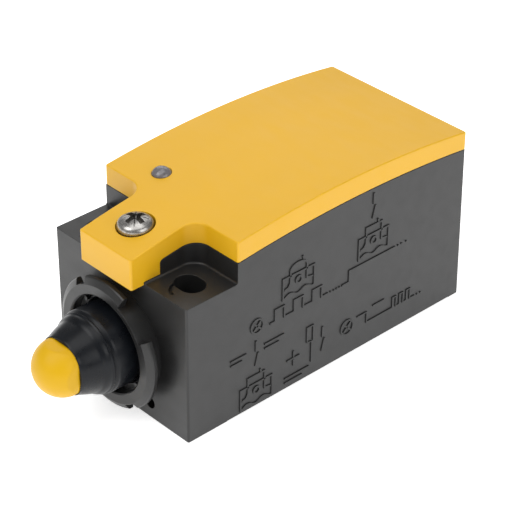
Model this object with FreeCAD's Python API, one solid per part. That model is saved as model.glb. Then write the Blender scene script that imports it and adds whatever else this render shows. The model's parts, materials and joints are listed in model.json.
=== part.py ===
"""Electronic limit switch in a narrow standard plastic enclosure, with a top plunger.

Row frame: +X runs from the plunger to the cable entry, +Z from the mounting face to the cover.
The origin is midway between the two mounting slots, on the mounting face. Lengths are millimetres.
"""

import FreeCAD, Part
import math
import os

V = FreeCAD.Vector
X_DIR = V(1, 0, 0)
Y_DIR = V(0, 1, 0)
Z_DIR = V(0, 0, 1)
REACH = 80.0  # longer than the switch in every direction, for cutting tools

# ---- enclosure ----
HALF_WIDTH = 15.5
FRONT_X = -5.1
END_X_BASE = 56.1
END_X_RIM = 55.5
WALL = 2.0
POCKET_WALL = 1.8
FLOOR = 2.0
CORNER_R = 0.35
BASE_EDGE_R = 0.25
PAD_FRONT_X = 2.9
PAD_REAR_X = 53.9
PAD_RELIEF = 0.22

# The line where cover and housing part: an arc seen from the side, with a step down at the nose.
PARTING_R = 230.0
PARTING_CREST_X = 30.4
PARTING_CREST_Z = 29.95
STEP_X = -1.9
STEP_Z = 25.2
STEP_R = 0.6
COVER_GAP = 0.12

# The cover's top is a shallower arc over the same length.
TOP_R = 190.0
TOP_CREST_X = 28.9
TOP_CREST_Z = 33.7
COVER_EDGE_R = 0.22
COVER_SKIN = 1.8
COVER_RIM = 2.95
COVER_LIP_H = 2.0
LIP_CLEARANCE = 0.15
NOSE_FRONT_X = -7.7
NOSE_BOTTOM_Z = 24.8
NOSE_HALF_WIDTH = 6.0

# ---- mounting pockets and slots ----
POCKET_FLOOR_Z = 24.9
POCKET_BACK_X = 5.2
POCKET_CORNER_R = 2.9
POCKET_FOOT_R = 0.35
RING_CORNER_R = 1.0
CAVITY_R = 1.5
GASKET_INSET = 0.45
GASKET_WIDTH = 0.9
GASKET_HEIGHT = 0.9
GASKET_R = 0.3
SLOT_Y = 10.5
SLOT_WIDTH = 4.3
SLOT_LENGTH = 5.3
CRESCENT_R = 2.56
CRESCENT_WIDTH = 0.55
CRESCENT_DEPTH = 0.7
CRESCENT_X = -1.3
CRESCENT_Y = 11.4
CRESCENT_START = -95.0
CRESCENT_SWEEP = 75.0
LOCATING_HOLE_R = 1.1
LOCATING_HOLE_DEPTH = 1.6
LOCATING_HOLE_Y = 6.5
LOCATING_HOLE_Z = 3.0

# ---- plunger head ----
AXIS_Z = 12.2
COLLAR_FRONT_X = -8.6
COLLAR_R = 11.15
COLLAR_BEVEL_R = 10.05
COLLAR_FLANGE = 1.5
COLLAR_OPENING_R = 8.3
COLLAR_NECK_R = 9.3
COLLAR_SEAT_R = 8.4
COLLAR_SPIGOT = 1.2
COLLAR_LIP_THICK = 0.65
WIDE_NOTCH = (28.0, 67.0)
NARROW_NOTCH = (116.0, 129.0)
NUB_ANGLE = 138.0
NUB_R = 0.42
BOOT_R = 7.0
BOOT_WALL = 1.0
BOOT_FLANGE = 0.85
BOOT_LIP_X = -16.8
BOOT_LIP_R = 4.87
BOOT_CROWN = (-14.4, 5.9)
BOOT_BEAD_X = -11.9
BOOT_BEAD_R = 6.75
TIP_CENTRE_X = -16.75
TIP_R = 4.8
TIP_HALF = 4.2
TIP_CORNER_R = 2.85
TIP_BASE_X = -16.5
TIP_NECK_R = 2.0
TIP_SOCKET = 2.8
TIP_EDGE_R = 0.6
TIP_GAP = 0.06
STEM_R = 3.0
STEM_HEAD_X = -15.2
STEM_HEAD_R = 4.3
STEM_SHOULDER_X = -14.0
STEM_END_X = 5.4
MAGNET_SOCKET = 3.0
BUSH_CLEARANCE = 0.05
BUSH_R = 4.0
BUSH_FLANGE_R = 5.5
BUSH_FRONT_X = -5.9
BUSH_END_X = 1.0
CLIP_X = 1.1
CLIP_THICK = 0.6
CLIP_R = 3.8
CLIP_GROOVE = 0.5
CLIP_MOUTH = 1.6
SPRING_WIRE_R = 0.22
SPRING_MEAN_R = 3.6
SPRING_TURNS = 5

# ---- cable entry, M20 x 1.5 ----
ENTRY_Z = 14.5
ENTRY_MINOR_R = 9.2
ENTRY_MAJOR_R = 10.0
ENTRY_PITCH = 1.5
ENTRY_INNER_X = 47.5
ENTRY_FACE_X = 55.5
ENTRY_BOSS_R = 11.9
ENTRY_FACE_R = 12.4
ENTRY_THREAD_X = 48.6
ENTRY_TURNS = 5

# ---- cover screw ----
SCREW_X = -1.6
SCREW_HOLE_R = 3.1
SCREW_HEAD_R = 2.9
SCREW_SEAT_Z = 30.2
SCREW_TOP_Z = 32.7
SCREW_SHANK_R = 1.5
SCREW_END_Z = 19.0
SCREW_DOME_R = 4.6
SCREW_SHOULDER_R = 1.1
RECESS_SPAN = 3.6
RECESS_WIDTH = 0.95
RECESS_DEPTH = 1.5
TICK_SPAN = 4.2
TICK_WIDTH = 0.16
RETAINER_R = 2.8
RETAINER_THICK = 0.55
BOSS_HALF_WIDTH = 4.1
BOSS_BACK_X = 2.4
BOSS_BOTTOM_Z = 25.9
BRIDGE_Z = 17.0
INSERT_R = 2.3
INSERT_BOTTOM_Z = 18.2

# ---- indicator ----
LENS_X = 9.6
LENS_Y = 7.0
LENS_R = 1.6
LENS_HEAD_Z = 31.3
LENS_DOME = 1.0
GUIDE_R = 1.2
GUIDE_BOTTOM_Z = 8.6

# ---- circuit board ----
BOARD_Z = 4.4
BOARD_THICK = 1.6
BOARD_FRONT_X = 8.0
BOARD_TONGUE_X = 2.6
BOARD_END_X = 46.0
BOARD_HALF_WIDTH = 13.1
BOARD_TONGUE_HALF = 3.7
BOARD_TOP = BOARD_Z + BOARD_THICK
BOARD_SCREWS = [(11.0, 11.0), (43.0, 11.0), (11.0, -11.0), (43.0, -11.0)]
BOARD_SCREW_R = 1.0
BOARD_SHANK_R = 0.85
BOARD_HEAD_R = 1.9
BOARD_HEAD_H = 1.3
BOARD_POST_R = 2.6
HALL_X = 6.2
CHIP_X = 14.0
CHIP_Y = 4.0
OUTPUTS = [(37.0, -6.0), (37.0, 6.0)]
CAPACITOR_X = 42.0
RESISTORS = [(33.0, y) for y in (-10.5, -7.0, 0.0, 7.0, 10.5)] + [(8.9, y) for y in (-3.2, 3.2)]

# ---- terminals ----
POLES = [-8.1, -2.7, 2.7, 8.1]
BLOCK_X = 18.0
BLOCK_END_X = 31.0
BLOCK_HALF_WIDTH = 11.2
BLOCK_TOP_Z = 21.0
CLAMP_X = 25.5
CLAMP_HALF_X = 2.3
CLAMP_HALF_Y = 1.9
CLAMP_BOTTOM_Z = 8.4
CLAMP_TOP_Z = 14.2
CLAMP_WINDOW = 1.3
WIRE_POCKET_X = 21.0
WIRE_POCKET_HALF = 2.1
BLOCK_STEP_Z = 15.5
PIN_HOLE_END_X = 22.2
PIN_HOLE_HALF = 0.7
PIN_X = 21.2
PIN_LEG_END_X = 22.0
PIN_BAR_END_X = 29.0
PIN_BAR_TOP_Z = 12.4
PIN_BAR_THICK = 0.8

# ---- set button ----
BUTTON_X = 12.5
BUTTON_Y = -5.6
BUTTON_CASE = 6.0
BUTTON_CASE_H = 3.5
BUTTON_RECESS = 0.9
BUTTON_CAP_R = 1.6
BUTTON_CAP_TOP_Z = 14.0
BUTTON_CAP_BOTTOM_Z = 9.0


# ---------------------------------------------------------------- helpers
def box(x0, x1, y0, y1, z0, z1):
    return Part.makeBox(x1 - x0, y1 - y0, z1 - z0, V(x0, y0, z0))


def rod_x(radius, x0, x1, y=0.0, z=AXIS_Z):
    return Part.makeCylinder(radius, x1 - x0, V(x0, y, z), X_DIR)


def rod_z(radius, z0, z1, x=0.0, y=0.0):
    return Part.makeCylinder(radius, z1 - z0, V(x, y, z0), Z_DIR)


def segment(a, b):
    return Part.LineSegment(a, b).toShape()


def loop(points):
    """A face bounded by straight edges through the points."""
    return Part.Face(Part.makePolygon(points + [points[0]]))


def lathe_x(profile):
    """A solid turned about the plunger axis from (x, radius) points."""
    face = loop([V(x, 0, AXIS_Z + r) for x, r in profile])
    return face.revolve(V(0, 0, AXIS_Z), X_DIR, 360)


def rounded_face(corners):
    """A flat face in the XY plane from (x, y, radius) corners, each rounded by its radius."""
    edges = []
    count = len(corners)
    trims = []
    for i, (x, y, radius) in enumerate(corners):
        here = V(x, y, 0)
        to_last = (V(*corners[i - 1][:2], 0) - here).normalize()
        to_next = (V(*corners[(i + 1) % count][:2], 0) - here).normalize()
        half = to_last.getAngle(to_next) / 2
        back = radius / math.tan(half)
        centre = here + (to_last + to_next).normalize() * (radius / math.sin(half))
        middle = centre + (here - centre).normalize() * radius
        trims.append((here + to_last * back, middle, here + to_next * back))
    for i, (start, middle, end) in enumerate(trims):
        edges.append(Part.Arc(start, middle, end).toShape())
        edges.append(segment(end, trims[(i + 1) % count][0]))
    return Part.Face(Part.Wire(edges))


def prism(face, z0, z1):
    moved = face.copy()
    moved.translate(V(0, 0, z0))
    return moved.extrude(V(0, 0, z1 - z0))


def across(face):
    """A side-view face in the XZ plane, carried right across the switch."""
    moved = face.copy()
    moved.translate(V(0, -REACH, 0))
    return moved.extrude(V(0, 2 * REACH, 0))


def mirror_y(shape):
    return shape.mirror(V(0, 0, 0), Y_DIR)


def both_sides(shape):
    return shape.fuse(mirror_y(shape))


def group(shapes):
    return Part.makeCompound(shapes)


def edges_on(shape, test):
    """The edges whose every sampled point passes the test."""
    found = []
    for edge in shape.Edges:
        ends = [edge.valueAt(t) for t in (edge.FirstParameter, edge.LastParameter)]
        middle = edge.valueAt((edge.FirstParameter + edge.LastParameter) / 2)
        if all(test(p) for p in ends + [middle]):
            found.append(edge)
    return found


def upright_edges(shape):
    return [edge for edge in shape.Edges if abs(edge.tangentAt(edge.FirstParameter).z) > 0.9]


# ---------------------------------------------------------------- shared surfaces
def arc_point(crest_x, crest_z, radius, x, grow=0.0):
    """The point of a crowned arc, grown outwards, above position x of the plain arc."""
    centre = V(crest_x, 0, crest_z - radius)
    on_arc = V(x, 0, centre.z + math.sqrt(radius**2 - (x - crest_x) ** 2))
    return centre + (on_arc - centre).normalize() * (radius + grow)


def crowned_arc(crest_x, crest_z, radius, start, grow=0.0):
    """An arc edge from start to beyond the cable end, and its last point."""
    middle = arc_point(crest_x, crest_z, radius, crest_x, grow)
    end = arc_point(crest_x, crest_z, radius, REACH, grow)
    return Part.Arc(start, middle, end).toShape(), end


def above_parting(gap):
    """Everything above the parting line, which is moved outwards from the housing by the gap."""
    centre = V(PARTING_CREST_X, 0, PARTING_CREST_Z - PARTING_R)
    corner_x = STEP_X + STEP_R
    rise = math.sqrt((PARTING_R - STEP_R) ** 2 - (corner_x - centre.x) ** 2)
    corner = V(corner_x, 0, centre.z + rise)
    to_arc = (corner - centre).normalize()
    sweep = (math.pi + math.atan2(to_arc.z, to_arc.x)) / 2
    radius = STEP_R + gap
    wall_top = corner + V(-radius, 0, 0)
    corner_middle = corner + V(math.cos(sweep), 0, math.sin(sweep)) * radius
    arc_start = corner + to_arc * radius
    wall_foot = V(STEP_X - gap, 0, STEP_Z + gap)
    front = V(-REACH, 0, STEP_Z + gap)
    arc, end = crowned_arc(PARTING_CREST_X, PARTING_CREST_Z, PARTING_R, arc_start, gap)
    edges = [
        segment(front, wall_foot),
        segment(wall_foot, wall_top),
        Part.Arc(wall_top, corner_middle, arc_start).toShape(),
        arc,
        segment(end, V(end.x, 0, REACH)),
        segment(V(end.x, 0, REACH), V(-REACH, 0, REACH)),
        segment(V(-REACH, 0, REACH), front),
    ]
    return across(Part.Face(Part.Wire(edges)))


def below_arc(crest_x, crest_z, radius, grow=0.0):
    """Everything below a crowned arc grown by an amount."""
    start = arc_point(crest_x, crest_z, radius, -REACH, grow)
    arc, end = crowned_arc(crest_x, crest_z, radius, start, grow)
    edges = [
        arc,
        segment(end, V(end.x, 0, -REACH)),
        segment(V(end.x, 0, -REACH), V(start.x, 0, -REACH)),
        segment(V(start.x, 0, -REACH), start),
    ]
    return across(Part.Face(Part.Wire(edges)))


def cover_outline(front_x, inset, inner_r=POCKET_CORNER_R, outer_r=CORNER_R):
    """The cover's T-shaped outline from above, drawn in by an inset from every side."""
    nose_y = NOSE_HALF_WIDTH - inset
    side_y = HALF_WIDTH - inset
    back_x = POCKET_BACK_X + inset
    end_x = END_X_RIM - inset
    half = [
        (front_x + inset, nose_y, outer_r),
        (back_x, nose_y, inner_r),
        (back_x, side_y, outer_r),
        (end_x, side_y, outer_r),
    ]
    other_half = [(x, -y, radius) for x, y, radius in reversed(half)]
    return rounded_face(half + other_half)


def slot_face(length, width, y):
    half = length / 2
    r = width / 2 - 0.001
    corners = [
        (-width / 2, y - half, r),
        (width / 2, y - half, r),
        (width / 2, y + half, r),
        (-width / 2, y + half, r),
    ]
    return rounded_face(corners)


# ---------------------------------------------------------------- enclosure
def housing_block():
    """The housing's outside before anything is cut into it."""
    rear_slope = (END_X_RIM - END_X_BASE) / PARTING_CREST_Z
    side = loop(
        [
            V(FRONT_X, 0, 0),
            V(END_X_BASE, 0, 0),
            V(END_X_BASE + rear_slope * REACH, 0, REACH),
            V(FRONT_X, 0, REACH),
        ]
    )
    side.translate(V(0, -HALF_WIDTH, 0))
    block = side.extrude(V(0, 2 * HALF_WIDTH, 0))
    block = block.makeFillet(CORNER_R, upright_edges(block))
    block = block.makeFillet(BASE_EDGE_R, edges_on(block, lambda p: abs(p.z) < 1e-6))
    return block.cut(above_parting(0))


def pocket():
    """The open corner over one mounting slot, on the +Y side."""
    beyond = HALF_WIDTH + 2
    face = rounded_face(
        [
            (FRONT_X - 2, NOSE_HALF_WIDTH, 0.5),
            (POCKET_BACK_X, NOSE_HALF_WIDTH, POCKET_CORNER_R),
            (POCKET_BACK_X, beyond, 0.5),
            (FRONT_X - 2, beyond, 0.5),
        ]
    )
    space = prism(face, POCKET_FLOOR_Z, REACH)
    return space.makeFillet(POCKET_FOOT_R, edges_on(space, lambda p: p.z < POCKET_FLOOR_Z + 0.01))


def crescent():
    """A short curved groove in the pocket floor, which runs out of the slot."""
    centre = V(CRESCENT_X, CRESCENT_Y, POCKET_FLOOR_Z)
    start = math.radians(CRESCENT_START)
    inner = CRESCENT_R - CRESCENT_WIDTH / 2
    direction = V(math.cos(start), math.sin(start), 0)
    near = centre + direction * inner
    far = centre + direction * (inner + CRESCENT_WIDTH)
    down = V(0, 0, -CRESCENT_DEPTH)
    up = V(0, 0, 1)
    section = loop([near + down, far + down, far + up, near + up])
    return section.revolve(centre, Z_DIR, -CRESCENT_SWEEP)


def cavity():
    """The space inside the housing: a wide chamber, and a channel for the plunger between the slots."""
    chamber = rounded_face(
        [
            (POCKET_BACK_X + POCKET_WALL, -HALF_WIDTH + WALL, CAVITY_R),
            (END_X_RIM - WALL, -HALF_WIDTH + WALL, CAVITY_R),
            (END_X_RIM - WALL, HALF_WIDTH - WALL, CAVITY_R),
            (POCKET_BACK_X + POCKET_WALL, HALF_WIDTH - WALL, CAVITY_R),
        ]
    )
    inner_x = POCKET_BACK_X + POCKET_WALL + 2
    channel_y = NOSE_HALF_WIDTH - POCKET_WALL - 0.1
    channel_x = FRONT_X + 2.2
    low = box(channel_x, inner_x, -channel_y, channel_y, FLOOR, BRIDGE_Z)
    wall_x = BOSS_BACK_X + POCKET_WALL
    high = box(wall_x, inner_x, -channel_y, channel_y, FLOOR, REACH)
    return prism(chamber, FLOOR, REACH).fuse(low).fuse(high)


def entry_boss():
    return rod_x(ENTRY_BOSS_R, ENTRY_INNER_X, ENTRY_FACE_X - 0.5, z=ENTRY_Z)


def entry_thread_groove(x):
    """One turn of the cable entry's thread, as a ring-shaped V groove."""
    half = ENTRY_PITCH * 0.36
    mouth = ENTRY_MINOR_R - 0.05
    points = [(x - half, mouth), (x, ENTRY_MAJOR_R), (x + half, mouth)]
    face = loop([V(px, 0, ENTRY_Z + r) for px, r in points])
    return face.revolve(V(0, 0, ENTRY_Z), X_DIR, 360)


def board_posts():
    posts = [rod_z(BOARD_POST_R, FLOOR - 0.5, BOARD_Z, x, y) for x, y in BOARD_SCREWS]
    return posts[0].multiFuse(posts[1:])


def make_housing():
    body = housing_block().cut(both_sides(pocket()))
    body = body.cut(cavity().cut(entry_boss())).fuse(board_posts())
    relief = box(PAD_FRONT_X, PAD_REAR_X, -REACH, REACH, -1, PAD_RELIEF)
    slot = prism(slot_face(SLOT_LENGTH, SLOT_WIDTH, SLOT_Y), -1, POCKET_FLOOR_Z + 1)
    boss_space = BOSS_HALF_WIDTH + 0.1
    locating_hole = rod_x(
        LOCATING_HOLE_R, FRONT_X - 1, FRONT_X + LOCATING_HOLE_DEPTH, y=LOCATING_HOLE_Y, z=LOCATING_HOLE_Z
    )
    collar_groove = rod_x(COLLAR_NECK_R, FRONT_X - 1, FRONT_X + COLLAR_SPIGOT)
    cuts = [
        relief,
        both_sides(slot),
        both_sides(crescent()),
        box(STEP_X - 0.01, BOSS_BACK_X, -boss_space, boss_space, STEP_Z, REACH),
        rod_z(INSERT_R, INSERT_BOTTOM_Z, REACH, SCREW_X),
        rod_x(BUSH_R, FRONT_X - 1, FRONT_X + 3),
        collar_groove.cut(rod_x(COLLAR_SEAT_R, FRONT_X - 2, FRONT_X + COLLAR_SPIGOT + 1)),
        both_sides(locating_hole),
        rod_x(ENTRY_MINOR_R, ENTRY_INNER_X - 1, ENTRY_FACE_X + 2, z=ENTRY_Z),
        rod_x(ENTRY_FACE_R, ENTRY_FACE_X, ENTRY_FACE_X + 5, z=ENTRY_Z),
    ]
    cuts += [entry_thread_groove(ENTRY_THREAD_X + ENTRY_PITCH * turn) for turn in range(ENTRY_TURNS)]
    cuts += [rod_z(BOARD_SHANK_R, FLOOR - 0.8, BOARD_Z + 1, x, y) for x, y in BOARD_SCREWS]
    for cut in cuts:
        body = body.cut(cut)
    return body


def crowned_face(shape):
    """The shape's large curved top."""
    return max(shape.Faces, key=lambda face: face.CenterOfMass.z)


def make_cover():
    top = (TOP_CREST_X, TOP_CREST_Z, TOP_R)
    parting = (PARTING_CREST_X, PARTING_CREST_Z, PARTING_R)
    shell = prism(cover_outline(NOSE_FRONT_X, 0), 0, REACH).common(below_arc(*top))
    shell = shell.makeFillet(COVER_EDGE_R, crowned_face(shell).Edges)
    above = shell.common(above_parting(COVER_GAP))
    hook = shell.common(box(-REACH, FRONT_X - 0.15, -REACH, REACH, NOSE_BOTTOM_Z, STEP_Z + 1))
    boss_end = BOSS_BACK_X - 0.15
    boss = box(STEP_X - 0.5, boss_end, -BOSS_HALF_WIDTH, BOSS_HALF_WIDTH, BOSS_BOTTOM_Z, SCREW_SEAT_Z)
    rim = ring_prism(WALL + LIP_CLEARANCE, CAVITY_R)
    hollow = ring_prism(COVER_RIM, CAVITY_R - COVER_RIM + WALL + LIP_CLEARANCE)
    lip = rim.cut(hollow)
    lip = lip.cut(below_arc(*parting, -COVER_LIP_H)).common(below_arc(*top, -COVER_SKIN / 2))
    hollow = hollow.common(below_arc(*top, -COVER_SKIN))
    cover = above.fuse(hook).fuse(boss).cut(hollow).fuse(lip)
    cuts = [
        gasket_ring(GASKET_INSET, 0.0, GASKET_HEIGHT),
        rod_z(SCREW_HOLE_R, SCREW_SEAT_Z, REACH, SCREW_X),
        rod_z(SCREW_SHANK_R + 0.25, 0, REACH, SCREW_X),
        rod_z(RETAINER_R + 0.4, 0, BOSS_BOTTOM_Z, SCREW_X),
        rod_z(LENS_R + 0.05, LENS_HEAD_Z, REACH, LENS_X, LENS_Y),
        rod_z(GUIDE_R + 0.1, 0, REACH, LENS_X, LENS_Y),
    ]
    for cut in cuts:
        cover = cover.cut(cut)
    return cover.removeSplitter()


def ring_prism(inset, outer_r):
    """An upright bar of the cavity's outline, drawn in from the enclosure's outside by an inset."""
    return prism(cover_outline(BOSS_BACK_X, inset, RING_CORNER_R, outer_r), 0, REACH)


def gasket_ring(inset, low, high):
    """A ring that follows the housing's rim, from low to high above the parting arc."""
    arc = (PARTING_CREST_X, PARTING_CREST_Z, PARTING_R)
    ring = ring_prism(inset, GASKET_R + GASKET_WIDTH).cut(ring_prism(inset + GASKET_WIDTH, GASKET_R))
    return ring.common(below_arc(*arc, high)).cut(below_arc(*arc, low))


def make_cover_gasket():
    return gasket_ring(GASKET_INSET, 0.03, GASKET_HEIGHT)


# ---------------------------------------------------------------- plunger head
def collar_sector(inner_r, start, end):
    """A wedge of ring through the collar's flange, between two angles seen from the plunger end."""
    direction = V(0, -math.cos(math.radians(start)), math.sin(math.radians(start)))
    on_axis = V(0, 0, AXIS_Z)
    near = on_axis + direction * inner_r
    far = on_axis + direction * (COLLAR_R + 1)
    x0 = COLLAR_FRONT_X - 1
    x1 = COLLAR_FRONT_X + COLLAR_FLANGE
    points = [near + V(x0, 0, 0), far + V(x0, 0, 0), far + V(x1, 0, 0), near + V(x1, 0, 0)]
    return loop(points).revolve(on_axis, V(-1, 0, 0), end - start)


def make_bayonet_collar():
    front = COLLAR_FRONT_X
    flange_back = front + COLLAR_FLANGE
    seat = FRONT_X - BOOT_FLANGE
    shelf = seat - COLLAR_LIP_THICK
    lip_r = BOOT_R + 0.35
    collar = lathe_x(
        [
            (front, COLLAR_OPENING_R + 0.25),
            (front, COLLAR_BEVEL_R),
            (front + 0.55, COLLAR_R - 0.15),
            (front + 0.75, COLLAR_R),
            (flange_back - 0.15, COLLAR_R),
            (flange_back, COLLAR_R - 0.15),
            (flange_back, COLLAR_NECK_R),
            (FRONT_X + COLLAR_SPIGOT, COLLAR_NECK_R),
            (FRONT_X + COLLAR_SPIGOT, COLLAR_SEAT_R),
            (seat, COLLAR_SEAT_R),
            (seat, lip_r),
            (shelf, lip_r),
            (shelf, COLLAR_OPENING_R),
            (front + 0.25, COLLAR_OPENING_R),
        ]
    )
    for turn in (0, 180):
        collar = collar.cut(collar_sector(COLLAR_NECK_R, WIDE_NOTCH[0] + turn, WIDE_NOTCH[1] + turn))
        collar = collar.cut(collar_sector(COLLAR_R - 1, NARROW_NOTCH[0] + turn, NARROW_NOTCH[1] + turn))
        angle = math.radians(NUB_ANGLE + turn)
        nub_r = (lip_r + COLLAR_OPENING_R) / 2
        y = -nub_r * math.cos(angle)
        z = AXIS_Z + nub_r * math.sin(angle)
        collar = collar.fuse(rod_x(NUB_R, shelf - 0.7, shelf + 0.1, y=y, z=z))
    return collar.removeSplitter()


def tip_prism(half, corner_r, x0, x1):
    """A square bar along the plunger axis with rounded corners."""
    places = [(-half, -half), (half, -half), (half, half), (-half, half)]
    face = rounded_face([(x, y, corner_r) for x, y in places])
    face.rotate(V(0, 0, 0), Y_DIR, 90)
    face.translate(V(x0, 0, AXIS_Z))
    return face.extrude(V(x1 - x0, 0, 0))


def make_plunger_tip():
    ball = Part.makeSphere(TIP_R, V(TIP_CENTRE_X, 0, AXIS_Z))
    dome = ball.common(tip_prism(TIP_HALF, TIP_CORNER_R, TIP_CENTRE_X - 2 * TIP_R, TIP_BASE_X))
    rounded = edges_on(dome, lambda p: p.x < TIP_BASE_X - 0.1)
    dome = dome.makeFillet(TIP_EDGE_R, rounded)
    neck = rod_x(TIP_NECK_R, TIP_BASE_X - 1, STEM_HEAD_X + TIP_SOCKET - 0.2)
    return dome.fuse(neck).removeSplitter()


def make_plunger_stem():
    stem = lathe_x(
        [
            (STEM_HEAD_X, 0),
            (STEM_HEAD_X, STEM_HEAD_R - 0.2),
            (STEM_HEAD_X + 0.2, STEM_HEAD_R),
            (STEM_SHOULDER_X, STEM_HEAD_R),
            (STEM_SHOULDER_X, STEM_R),
            (CLIP_X, STEM_R),
            (CLIP_X, STEM_R - CLIP_GROOVE),
            (CLIP_X + CLIP_THICK, STEM_R - CLIP_GROOVE),
            (CLIP_X + CLIP_THICK, STEM_R),
            (STEM_END_X - 0.3, STEM_R),
            (STEM_END_X, STEM_R - 0.3),
            (STEM_END_X, 0),
        ]
    )
    stem = stem.cut(rod_x(TIP_NECK_R, STEM_HEAD_X - 1, STEM_HEAD_X + TIP_SOCKET))
    return stem.cut(rod_x(TIP_NECK_R, STEM_END_X - MAGNET_SOCKET, STEM_END_X + 1))


def make_magnet():
    return rod_x(TIP_NECK_R, STEM_END_X - MAGNET_SOCKET, STEM_END_X - 0.2)


def make_stem_clip():
    """An open retaining ring that stops the stem behind the guide bush."""
    ring = rod_x(CLIP_R, CLIP_X, CLIP_X + CLIP_THICK)
    bore = rod_x(STEM_R - CLIP_GROOVE, CLIP_X - 1, CLIP_X + 2)
    mouth = box(CLIP_X - 1, CLIP_X + 2, -CLIP_MOUTH, CLIP_MOUTH, AXIS_Z, REACH)
    return ring.cut(bore).cut(mouth)


def make_guide_bush():
    return lathe_x(
        [
            (BUSH_FRONT_X, STEM_R + BUSH_CLEARANCE),
            (BUSH_FRONT_X, BUSH_FLANGE_R),
            (FRONT_X, BUSH_FLANGE_R),
            (FRONT_X, BUSH_R),
            (BUSH_END_X, BUSH_R),
            (BUSH_END_X, STEM_R + BUSH_CLEARANCE),
        ]
    )


def make_return_spring():
    """A round-wire spring made of half turns, which meet in line where they cross the XZ plane."""
    length = BUSH_FRONT_X - STEM_SHOULDER_X - 2 * SPRING_WIRE_R - 0.1
    quarter_rise = length / SPRING_TURNS / 4
    bulge = math.hypot(SPRING_MEAN_R, quarter_rise)
    half_turns = []
    for i in range(2 * SPRING_TURNS):
        sign = 1 if i % 2 == 0 else -1
        z = 2 * i * quarter_rise
        start = V(sign * SPRING_MEAN_R, 0, z)
        middle = V(0, sign * bulge, z + quarter_rise)
        end = V(-sign * SPRING_MEAN_R, 0, z + 2 * quarter_rise)
        half_turns.append(Part.Arc(start, middle, end).toShape())
    section = Part.Wire(Part.makeCircle(SPRING_WIRE_R, V(SPRING_MEAN_R, 0, 0), Y_DIR))
    coil = Part.Wire(half_turns).makePipeShell([section], True, True)
    coil.rotate(V(0, 0, 0), Y_DIR, 90)
    coil.translate(V(STEM_SHOULDER_X + SPRING_WIRE_R + 0.05, 0, AXIS_Z))
    return coil


def make_sealing_boot():
    """A rubber sleeve from the collar to the plunger tip, with a clamped flange and a thin bead."""
    base_r = BOOT_R - BOOT_WALL

    def point(x, r):
        return V(x, 0, AXIS_Z + r)

    crown = Part.Arc(point(BOOT_LIP_X, BOOT_LIP_R), point(*BOOT_CROWN), point(BOOT_BEAD_X, BOOT_BEAD_R))
    outline = [
        (BOOT_BEAD_X, BOOT_BEAD_R),
        (BOOT_BEAD_X + 0.15, BOOT_BEAD_R - 0.15),
        (BOOT_BEAD_X + 0.3, BOOT_R),
        (FRONT_X - BOOT_FLANGE, BOOT_R),
        (FRONT_X - BOOT_FLANGE, COLLAR_SEAT_R),
        (FRONT_X, COLLAR_SEAT_R),
        (FRONT_X, base_r),
        (BOOT_BEAD_X - 0.4, base_r),
        (STEM_HEAD_X - 0.05, STEM_HEAD_R + 0.2),
        (STEM_HEAD_X - 0.05, TIP_NECK_R + TIP_GAP),
        (TIP_BASE_X + TIP_GAP, TIP_NECK_R + TIP_GAP),
        (BOOT_LIP_X, TIP_NECK_R + TIP_GAP),
        (BOOT_LIP_X, BOOT_LIP_R),
    ]
    edges = [crown.toShape()]
    edges += [segment(point(*a), point(*b)) for a, b in zip(outline, outline[1:])]
    face = Part.Face(Part.Wire(edges))
    boot = face.revolve(V(0, 0, AXIS_Z), X_DIR, 360)
    recess = tip_prism(TIP_HALF + TIP_GAP, TIP_CORNER_R + TIP_GAP, BOOT_LIP_X - 1, TIP_BASE_X + TIP_GAP)
    return boot.cut(recess)


# ---------------------------------------------------------------- circuit board
def pin_hole(y, top):
    """The slot that a terminal pin's leg passes through, at one pole."""
    return box(WIRE_POCKET_X, PIN_HOLE_END_X, y - PIN_HOLE_HALF, y + PIN_HOLE_HALF, 0, top)


def make_circuit_board():
    main = box(BOARD_FRONT_X, BOARD_END_X, -BOARD_HALF_WIDTH, BOARD_HALF_WIDTH, BOARD_Z, BOARD_TOP)
    tongue_end = BOARD_FRONT_X + 1
    tongue = box(BOARD_TONGUE_X, tongue_end, -BOARD_TONGUE_HALF, BOARD_TONGUE_HALF, BOARD_Z, BOARD_TOP)
    board = main.fuse(tongue)
    for x, y in BOARD_SCREWS:
        board = board.cut(rod_z(BOARD_SCREW_R + 0.1, 0, REACH, x, y))
    for y in POLES:
        board = board.cut(pin_hole(y, REACH))
    return board.removeSplitter()


def make_board_screws():
    screws = []
    for x, y in BOARD_SCREWS:
        head_top = BOARD_TOP + BOARD_HEAD_H
        head = rod_z(BOARD_HEAD_R, BOARD_TOP, head_top, x, y)
        head = head.makeFillet(0.5, edges_on(head, lambda p: p.z > head_top - 0.1))
        shank = rod_z(BOARD_SHANK_R, FLOOR - 0.6, BOARD_TOP, x, y)
        slot = cross_recess(x, y, head_top, 2.2, 0.45, 0.7)
        screws.append(head.fuse(shank).cut(slot).removeSplitter())
    return group(screws)


def cross_recess(x, y, top, span, width, depth):
    """A cross-shaped driver recess cut down from a screw's top."""
    half = span / 2
    slot = box(x - half, x + half, y - width / 2, y + width / 2, top - depth, top + 1)
    other = box(x - width / 2, x + width / 2, y - half, y + half, top - depth, top + 1)
    return slot.fuse(other)


def gull_wing_legs(x_centre, y_centre, half_x, count, pitch, foot):
    """Two rows of bent pins on the X sides of a chip package."""
    legs = []
    low = BOARD_TOP
    for i in range(count):
        y = y_centre + (i - (count - 1) / 2) * pitch
        for side in (-1, 1):
            inner = x_centre + side * half_x
            outer = inner + side * foot
            x0 = min(inner, outer)
            x1 = max(inner, outer)
            legs.append(box(x0, x1, y - 0.15, y + 0.15, low, low + 0.2))
            legs.append(box(inner - 0.1, inner + 0.1, y - 0.15, y + 0.15, low + 0.1, low + 0.6))
    return legs


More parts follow.
